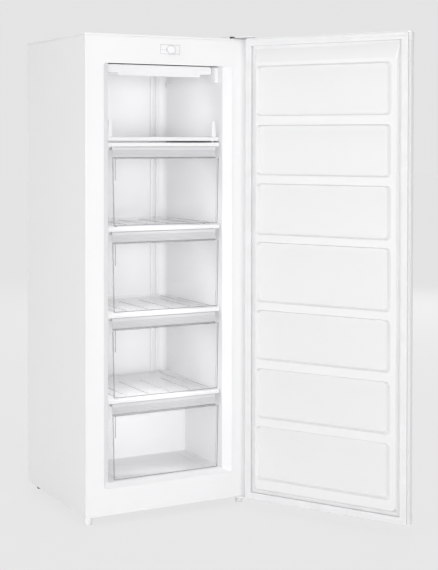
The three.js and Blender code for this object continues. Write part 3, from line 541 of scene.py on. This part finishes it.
def door_panel(node):
    """The door's inner panel in three tones of one white: the pocket floors are painted a little darker than
    the crests, as painted shade, and the walls round the pockets are painted lighter, as painted light.
    """
    form = cad_copy(node)
    round_edges(form, edges_over(form, FOLD), PANEL_ROUNDING, 3)
    closed = DOOR.inverted()
    for face in form.faces:
        across = (closed.to_3x3() @ face.normal).normalized()
        depth = (closed @ face.calc_center_median()).y
        # crests and pocket walls take the lighter copies of the white: painted light
        if across.y > 0.98 and depth > CREST_DEPTH:
            face.material_index = 1
        elif abs(across.x) > 0.25 and abs(across.z) < 0.5:
            face.material_index = 2
    stand_for(node, form, [DOOR_LINER_PLASTIC, DOOR_CREST_PAINTED_LIGHT, DOOR_WALL_PAINTED_LIGHT])


door_panel("door_liner")

# ---------------------------------------------------------------- drawers

# metres, on the CAD tubs and bands
TUB_FLOOR = 0.0025  # thickness
CAD_RIB = 0.0012  # a little over the height of the low ribs on it
BAND_NECK = 0.024  # from the rim down, the stretch that the handle band hides
CORNER = (0.008, 0.006)  # width and depth of a tub's front corners
SHOULDER_DEPTH = 0.015
LIP_DEPTH = 0.004  # the level edges this near to the front are rounded, where they are longer than the next
LIP_LENGTH = 0.1
LIP_ROUNDING = 0.002
RIDGE_ROUNDING = 0.0003
GROOVE_DEPTH = 0.0016
# mm, for the beads and ribs that are laid on the tubs
FACE = 22.4  # where the tubs' fronts start
FACE_LEFT = 102
FACE_RIGHT = 446
BEAD_DEPTH = 2.4
RIB_PLACES = (146, 218, 290, 362, 424)
RIB_RUN = [36, 250]
RIB_WIDTH = 2.6
TUB_LEVELS = [(874.1, 1073.8), (617.6, 821.3), (362.6, 564.8), (119.1, 309.8)]  # foot and shoulder


def flatten_ribs(form):
    """Brings the low ribs of a tub's floor down into it. Straight ones are a piece of their own."""
    under = [face for face in form.faces if face.normal.z < -0.9]
    level = max(under, key=lambda face: face.calc_area()).calc_center_median().z + TUB_FLOOR
    raised = [vert for vert in form.verts if level + 0.0001 < vert.co.z < level + CAD_RIB]
    bmesh.ops.scale(form, vec=(1, 1, 0), space=Matrix.Translation((0, 0, -level)), verts=raised)
    bmesh.ops.remove_doubles(form, verts=form.verts[:], dist=SAME_POINT)


def drawer_tub(node):
    """A clear tub: the edges round its front and the shoulder under the band are painted dark and dense, as
    painted shade lines, denser there than in its walls.
    """
    form = cad_copy(node)
    front = min(vert.co.y for vert in form.verts)
    sides = [pick(vert.co.x for vert in form.verts) for pick in (min, max)]
    rim = max(vert.co.z for vert in form.verts)
    flatten_ribs(form)
    for face in form.faces:
        middle, across = face.calc_center_median(), face.normal
        near = min(abs(middle.x - side) for side in sides) < CORNER[0] and middle.y < front + CORNER[1]
        corner = near and across.y < -0.3 and abs(across.x) > 0.3 and middle.z < rim - BAND_NECK
        shoulder = across.y < -0.2 and across.z > 0.2 and middle.y < front + SHOULDER_DEPTH
        # front corners and the shoulder under the band are painted dark: painted shade lines
        if corner or shoulder:
            face.material_index = 1
    lips = [
        edge
        for edge in edges_over(form, 12)
        if abs(edge.verts[0].co.z - edge.verts[1].co.z) < 0.001
        and edge.calc_length() > LIP_LENGTH
        and max(vert.co.y for vert in edge.verts) < front + LIP_DEPTH
    ]
    # the rounded lower front edges are painted dark too, as painted shade lines
    for face in round_edges(form, lips, LIP_ROUNDING, 3):
        face.material_index = 1
    let_light_through(stand_for(node, form, [CLEAR_PLASTIC, CLEAR_EDGE_PAINTED_SHADE]))


def bead(start, end, width):
    """A moulded bead on the front of a tub, from one (x, z) to another."""
    return bar(start, end, [0, BEAD_DEPTH], width, min(width, BEAD_DEPTH) * 0.4, 3, over=width / 2)


def tub_beads(node, foot, shoulder):
    """The beads that stiffen a tub's front: along its foot, up its right edge and a short one at its left."""
    line = foot + 1.3
    beads = [
        bead((FACE_LEFT, line), (FACE_RIGHT, line), 2.6),
        bead((FACE_RIGHT + 1.2, line), (FACE_RIGHT + 5.2, shoulder), 2.2),
        bead((FACE_LEFT + 3, shoulder - 64), (FACE_LEFT + 2.6, shoulder), 1.7),
    ]
    form = gathered(beads)
    bmesh.ops.translate(form, vec=(0, FACE, 0), verts=form.verts[:])
    # the beads are painted dark and dense, as painted shade lines along the tub's front
    let_light_through(settle(form, node + "_beads", CLEAR_BEAD_PAINTED_SHADE, node, CABINET))


def tub_ribs(node, foot):
    """The low ribs that run from the front to the back of a tub's floor, painted dark and dense as painted
    shade strokes.
    """
    level = [foot + 2.3, foot + 3.5]
    half = RIB_WIDTH / 2
    form = gathered([slab([x - half, x + half], RIB_RUN, level, 0.5) for x in RIB_PLACES])
    let_light_through(settle(form, node + "_ribs", CLEAR_RIB_PAINTED_SHADE, node, CABINET))


def drawer_handle(node):
    """A handle band: its ridges round over, and the downward faces in the grooves between them are painted
    darker grey, as painted shade.
    """
    form = cad_copy(node)
    round_edges(form, edges_over(form, FOLD), RIDGE_ROUNDING, 2)
    front = min(vert.co.y for vert in form.verts)
    for face in form.faces:
        # downward faces in the grooves are painted darker: painted shade
        if face.normal.z < -0.25 and face.calc_center_median().y < front + GROOVE_DEPTH:
            face.material_index = 1
    stand_for(node, form, [GREY_PLASTIC, GROOVE_PAINTED_SHADE])


for number, (foot, shoulder) in enumerate(TUB_LEVELS, start=1):
    tub = f"drawer_tub_{number}"
    drawer_tub(tub)
    tub_beads(tub, foot, shoulder)
    drawer_handle(f"drawer_handle_{number}")
    if number < len(TUB_LEVELS):  # the lowest tub's floor is plain
        tub_ribs(tub, foot)

# ---------------------------------------------------------------- dial

KNOB = (277, 0, 1398.5)
KNOB_RIM = [
    (0, -6.7), (9.2, -6.7), (10.6, -6.4), (11.6, -5.7), (12.5, -4.6),
    (13, -3.2), (13, -2.7), (12.6, -2.6), (0, -2.6),
]
INK = [-2.42, -2.25]  # from the print's face to just inside the bezel
PRINT_X = (240.9, 304.7)
PRINT_Z = (1385.8, 1412.8)
POINTER_Z = 1397.6
STOP_X = 260.6
RIM_SHADOW_RADII = (13.3, 14.1)  # inner and outer radius of the painted shadow round the knob's rim
SCALE_START = 40  # degrees from straight up to the first stroke of the scale
SCALE_STEP = 26
SCALE_INSIDE = 15.2
SCALE_OUTSIDE = 16.4


def ink_line(start, end, width):
    """A printed stroke on the bezel, from one (x, z) to another."""
    return bar(start, end, INK, width, 0.05, 1)


def dial_marks_and_painted_knob_shadow():
    """The frame printed round the bezel, the scale round the knob, the pointer line beside it, a stroke left
    of the knob, and a grey band just round the knob's rim that is painted shadow.
    """
    x, z = PRINT_X, PRINT_Z
    centre = Vector((KNOB[0], KNOB[2]))
    light = [
        ink_line((x[0], z[0]), (x[1], z[0]), 1.0),
        ink_line((x[0], z[1]), (x[1], z[1]), 1.0),
        ink_line((x[0], z[0]), (x[0], z[1]), 1.3),
        ink_line((x[1], z[0]), (x[1], z[1]), 1.0),
        ink_line((244, POINTER_Z), (258, POINTER_Z), 0.8),
    ]
    for step in range(5):
        angle = math.radians(SCALE_START + SCALE_STEP * step)
        out = Vector((math.sin(angle), math.cos(angle)))
        light.append(ink_line(centre + out * SCALE_INSIDE, centre + out * (SCALE_OUTSIDE + 0.5 * step), 0.8))
    stop = ink_line((STOP_X, 1391.6), (STOP_X, 1404.6), 1.1)
    section = [(RIM_SHADOW_RADII[0], INK[0]), (RIM_SHADOW_RADII[1], INK[0]), (RIM_SHADOW_RADII[1], INK[1]), (RIM_SHADOW_RADII[0], INK[1])]
    # a grey band round the knob's rim: painted shadow
    rim_shadow = turned(section, KNOB, axis=1, closed=True)
    settle(gathered([stop, rim_shadow]), "dial_marks_and_painted_knob_shadow", GREY_INK_AND_PAINTED_SHADOW, "control_bezel", CABINET)
    settle(gathered(light), "dial_lines", PALE_INK, "control_bezel", CABINET)


def knob():
    """The thermostat knob: a low disc with a finger bar across it and an index mark at the bar's end."""
    x, _, z = KNOB
    disc = turned(KNOB_RIM, KNOB, axis=1)
    finger_bar = slab([x - 1.7, x + 1.7], [-7.5, -3], [z - 9.9, z + 9.9], 0.9, 3)
    made_node("thermostat_knob", gathered([disc, finger_bar]), WHITE_PLASTIC)
    mark = slab([x - 0.8, x + 0.8], [-7.49, -6.4], [z - 11.9, z - 9.6], 0.15, 1)
    settle(mark, "knob_index", GREY_INK_AND_PAINTED_SHADOW, "thermostat_knob", CABINET)


dial_marks_and_painted_knob_shadow()
knob()

# ---------------------------------------------------------------- compressor bay

SHELL_X = 400
SHELL_Y = 408
MOUNT_X = (-62, 62)  # the mounts' places, from the shell's middle
MOUNT_Y = (-48, 48)
PLATE = (74, 60)  # half its length and depth
PLATE_LEVEL = [46.3, 48.8]
SHELL_SIDE = 62.6  # the shell's radius where the discharge tube leaves it
TUBE_ASIDE = 24  # how far left of the shell's middle the discharge tube leaves it
TUBE_Y = 338  # the drier and the discharge tube's run to it
DRIER_X = 255
SUCTION_X = 490
GLAND_AT = (110, 0, 120)
SHELL = [
    (0, 47.3), (40, 47.3), (49, 50.5), (56, 57), (60.4, 65), (62, 74), (62, 111.4), (62.8, 112.2),
    (64, 112.8), (64, 117.2), (62.8, 117.8), (62, 118.6), (61.4, 132), (59.6, 145), (56, 157),
    (50, 167.5), (42, 176), (32, 182.6), (20, 187.2), (9, 189.5), (0, 190),
]
MOUNT = [(0, 38.6), (9, 38.6), (9.6, 39.4), (9.6, 41), (8.4, 42), (8.4, 43), (9.6, 44), (9.2, 46), (0, 46)]
WASHER = [(0, 48.9), (7.6, 48.9), (7.8, 49.3), (7.4, 50.1), (0, 50.1)]
NUT = [(0, 50), (5.6, 50), (5.9, 50.6), (5.9, 53.6), (5.3, 54.2), (0, 54.2)]
STUD = [(0, 54), (2.9, 54), (2.9, 57.4), (2.3, 58), (0, 58)]
DRIER = [
    (0, 92), (3, 92), (3.2, 95), (5, 99), (8.2, 102.6), (9, 105), (9, 181), (8.2, 184), (5, 189), (3.2, 193),
    (3, 196), (0, 196),
]
GLAND = [
    (4, 325.3), (13, 325.3), (13, 327.6), (12.4, 328.3), (8.5, 328.3), (8.2, 331.5), (7.4, 332),
    (8, 332.5), (7.8, 335.8), (7, 336.3), (7.5, 336.8), (7.3, 340.2), (6.6, 340.7), (7, 341.2),
    (6.8, 344.6), (6.2, 345.1), (6.4, 345.6), (6, 349), (5.6, 349.3), (4, 349.3),
]
SCREW = [
    (0, 478.6), (4.2, 478.6), (4.2, 479.1), (3.4, 479.6), (2.2, 479.8), (1.2, 479.8), (1, 479.2), (0, 479.2),
]
SCREW_X = (26, 519)
SCREW_Z = (310, 580, 850, 1120, 1390)


def compressor():
    """The compressor's welded shell on its plate, which four rubber mounts with nuts carry."""
    x, y = SHELL_X, SHELL_Y
    length, depth = PLATE
    shell = turned(SHELL, (x, y, 0), steps=96)
    plate = slab([x - length, x + length], [y - depth, y + depth], PLATE_LEVEL, 0.6, upright=10)
    made_node("compressor", gathered([shell, plate]), ENAMEL)
    corners = [(x + aside, y + back, 0) for aside in MOUNT_X for back in MOUNT_Y]
    mounts = [turned(MOUNT, corner, steps=40) for corner in corners]
    settle(gathered(mounts), "compressor_mounts", RUBBER, "compressor_rail", CABINET)
    layers = ((WASHER, 40), (NUT, 6), (STUD, 24))
    bolts = [turned(profile, corner, steps=steps) for corner in corners for profile, steps in layers]
    settle(gathered(bolts), "compressor_bolts", ZINC, "compressor_rail", CABINET, crease=30)


def tubes():
    """The drier with its clip, and the two tubes of the bay."""
    clip = slab([DRIER_X - 7, DRIER_X + 7], [325.3, TUBE_Y], [130, 148], 0.8)
    made_node("drier_filter", gathered([turned(DRIER, (DRIER_X, TUBE_Y, 0)), clip]), COPPER)
    x = SHELL_X - TUBE_ASIDE
    leave = SHELL_Y - math.sqrt(SHELL_SIDE**2 - TUBE_ASIDE**2)
    over, into = (DRIER_X, TUBE_Y, 216), (DRIER_X, TUBE_Y, 196.4)
    discharge = [(x, leave, 100), (x, TUBE_Y, 100), (x, TUBE_Y, 216), over, into]
    suction = [(SHELL_X + SHELL_SIDE, SHELL_Y, 132), (SUCTION_X, SHELL_Y, 132), (SUCTION_X, SHELL_Y, 282.7)]
    bent_tube("discharge_tube", discharge, 2.5, 8, COPPER)
    bent_tube("suction_tube", suction, 4, 16, COPPER)


def rear_screws():
    """Low pan-head screws down both edges of the rear panel."""
    forms = [turned(SCREW, (x, 0, z), axis=1, steps=32) for x in SCREW_X for z in SCREW_Z]
    settle(gathered(forms), "rear_screws", ZINC, "rear_panel", CABINET, crease=30)


compressor()
tubes()
made_node("cord_gland", turned(GLAND, GLAND_AT, axis=1, closed=True), BLACK_PLASTIC)
rear_screws()

# ---------------------------------------------------------------- feet and bushes

FOOT_Y = 25
GLIDE_Y = 465
STUD_END = 44
THREAD_START = 25.2
THREAD_STEP = 0.5
THREAD = (3.4, 4)  # the thread's radius in its grooves and on its crests
BUSH = (3.3, 4.8)  # a bush's inner and outer radius
GLIDE = [(0, 0), (11.5, 0), (13.2, 0.6), (14, 1.9), (13.6, 4), (11.8, 18), (11.2, 24.7), (0, 24.7)]


def levelling_foot(node, x, top):
    """A levelling foot: a moulded cone that widens upwards to its top, on a threaded zinc stud."""
    thread = [(THREAD[step % 2], THREAD_START + step * THREAD_STEP) for step in range(37)]
    profile = [
        (0, 0), (9.2, 0), (10.2, 0.5), (10.6, 1.6), (12.7, top - 4.6), (13, top - 1.4), (12.6, top - 0.4),
        (11.8, top), (4, top), *thread, (3.2, STUD_END), (0, STUD_END),
    ]
    form = turned(profile, (x, FOOT_Y, 0))
    for face in form.faces:
        if face.calc_center_median().z > top + 0.1:
            face.material_index = 1
    made_node(node, form, [WHITE_PLASTIC, ZINC], crease=35)


def hinge_bush(node):
    """A bush in the door: a short tube round the hinge pin, its outer edges broken."""
    heights = [(DOOR.inverted() @ vert.co).z for vert in nodes[node].data.vertices]
    low, high = min(heights), max(heights)
    inside, outside = BUSH
    broken = outside - 0.3
    wall = [
        (inside, low), (broken, low), (outside, low + 0.3), (outside, high - 0.3), (broken, high),
        (inside, high),
    ]
    made_node(node, turned(wall, PIN, closed=True), GREY_PLASTIC)


levelling_foot("front_foot_left", 18, 24.6)
levelling_foot("front_foot_right", 527, 20.8)  # the hinge bracket lies over this one
made_node("rear_foot_left", turned(GLIDE, (40, GLIDE_Y, 0)), BLACK_PLASTIC)
made_node("rear_foot_right", turned(GLIDE, (505, GLIDE_Y, 0)), BLACK_PLASTIC)
hinge_bush("hinge_bush_top")
hinge_bush("hinge_bush_bottom")

for node in ("cabinet_foam", "door_foam"):
    nodes[node].data.materials.clear()
    nodes[node].data.materials.append(FOAM)

# ---------------------------------------------------------------- floor and light

BACKDROP = 0.78
FLOOR_TONE = 0.815
FLOOR_SHARE = 0.9  # how much of the floor's look is its even tone; the rest takes shadows
DAYLIGHT = 0.42  # the even light from all round

# name, place, aim, size in metres, power in watts
LAMPS = [
    ("front_lamp", (-1.8, -4.6, 0.95), (-0.1, 0.0, 0.66), (2.6, 1.5), 112),
    ("left_lamp", (-4.6, -0.8, 1.15), (-0.2, 0.1, 0.72), (2.6, 1.9), 45),
    ("rear_lamp", (3.6, 4.4, 2.2), (0.1, 0.3, 0.7), (2.6, 2.2), 150),
    ("top_lamp", (-0.3, -0.6, 5.0), (0.0, 0.1, 1.4), (2.4, 2.4), 46),
]
# the lit stretch's lower and upper level and its depth in mm, its glow, how far it looks down
INNER_LAMPS = [
    (1145, 1318, 100, 1.75, 0.3),
    (880, 1095, 68, 1.35, 0.8),
    (625, 840, 68, 1.37, 0.8),
    (368, 585, 68, 1.37, 0.7),
    (125, 335, 68, 0.68, 0.1),
]
# name, level and depth in mm, height in metres, glow
GAP_LAMPS = [
    ("tray_gap_lamp", 1123.7, 52, 0.0034, 0.8),
    ("flap_gap_lamp", 1363, 62, 0.008, 0.7),
]
INNER_X = 228
INNER_WIDTH = 0.25
GAP_X = 285
GAP_WIDTH = 0.34


def seen_rays(tree):
    """1 for what the camera, gloss and clear plastic see, 0 for the light that falls on things."""
    ray = tree.nodes.new("ShaderNodeLightPath")
    total = ray.outputs["Is Camera Ray"]
    for other in ("Is Glossy Ray", "Is Transmission Ray"):
        larger = tree.nodes.new("ShaderNodeMath")
        larger.operation = "MAXIMUM"
        tree.links.new(total, larger.inputs[0])
        tree.links.new(ray.outputs[other], larger.inputs[1])
        total = larger.outputs[0]
    return total


def mixed(tree, share, plain, seen):
    """Two shaders mixed by a share."""
    mix = tree.nodes.new("ShaderNodeMixShader")
    tree.links.new(share, mix.inputs[0])
    tree.links.new(plain, mix.inputs[1])
    tree.links.new(seen, mix.inputs[2])
    return mix.outputs[0]


def floor():
    """A wide pale floor: it keeps the freezer's shadow over a tone of its own."""
    form = bmesh.new()
    bmesh.ops.create_grid(form, x_segments=1, y_segments=1, size=30)
    mesh = bpy.data.meshes.new("studio_floor")
    form.to_mesh(mesh)
    form.free()
    stage = bpy.data.objects.new("studio_floor", mesh)
    scene.collection.objects.link(stage)
    finish = Finish("pale_floor")
    finish.feed(
        base_color=finish.ramp(finish.noise(3, 3), (0.3, (0.8, 0.805, 0.81)), (0.7, (0.82, 0.825, 0.83))),
        roughness=finish.between(finish.noise(9, 2), 0.6, 0.75),
    )
    tree = finish.material.node_tree
    tone = finish.add("ShaderNodeEmission")
    tone.inputs["Color"].default_value = (FLOOR_TONE, FLOOR_TONE, FLOOR_TONE, 1)
    share = finish.add("ShaderNodeMath", operation="MULTIPLY")
    share.inputs[1].default_value = FLOOR_SHARE
    tree.links.new(seen_rays(tree), share.inputs[0])
    surface = mixed(tree, share.outputs[0], finish.shader.outputs[0], tone.outputs[0])
    tree.links.new(surface, tree.nodes["Material Output"].inputs["Surface"])
    mesh.materials.append(finish.material)


def lamp(name, at, aim, size, power):
    """A rectangular lamp that itself stays out of sight."""
    data = bpy.data.lights.new(name, "AREA")
    data.shape = "RECTANGLE"
    data.size, data.size_y = size
    data.energy = power
    light = bpy.data.objects.new(name, data)
    light.location = at
    light.rotation_euler = (Vector(aim) - Vector(at)).to_track_quat("-Z", "Y").to_euler()
    light.visible_camera = False
    light.visible_glossy = False
    scene.collection.objects.link(light)


def small_lamp(name, place, look, size, glow):
    """A lamp inside the cabinet, whose power follows from its glow and size."""
    middle = CABINET @ Vector(place)
    lamp(name, middle, middle + Vector(look), size, glow * math.pi * size[0] * size[1])


def world(strength):
    """Even light from all round, with a pale backdrop where it is seen."""
    surroundings = bpy.data.worlds.new("studio")
    scene.world = surroundings
    surroundings.use_nodes = True
    tree = surroundings.node_tree
    light = tree.nodes["Background"]
    light.inputs["Color"].default_value = (1, 1, 1, 1)
    light.inputs["Strength"].default_value = strength
    backdrop = tree.nodes.new("ShaderNodeBackground")
    backdrop.inputs["Color"].default_value = (BACKDROP, BACKDROP, BACKDROP, 1)
    backdrop.inputs["Strength"].default_value = 1
    surface = mixed(tree, seen_rays(tree), light.outputs[0], backdrop.outputs[0])
    tree.links.new(surface, tree.nodes["World Output"].inputs["Surface"])


floor()
world(DAYLIGHT)
for row in LAMPS:
    lamp(*row)
for number, (low, high, back, glow, dip) in enumerate(INNER_LAMPS, start=1):
    size = (INNER_WIDTH, (high - low) / 1000)
    small_lamp(f"inner_lamp_{number}", (INNER_X, back, (low + high) / 2), (0.2, 1, -dip), size, glow)
for name, level, back, height, glow in GAP_LAMPS:
    small_lamp(name, (GAP_X, back, level), (0, 1, 0), (GAP_WIDTH, height), glow)
scene.view_settings.view_transform = "Standard"
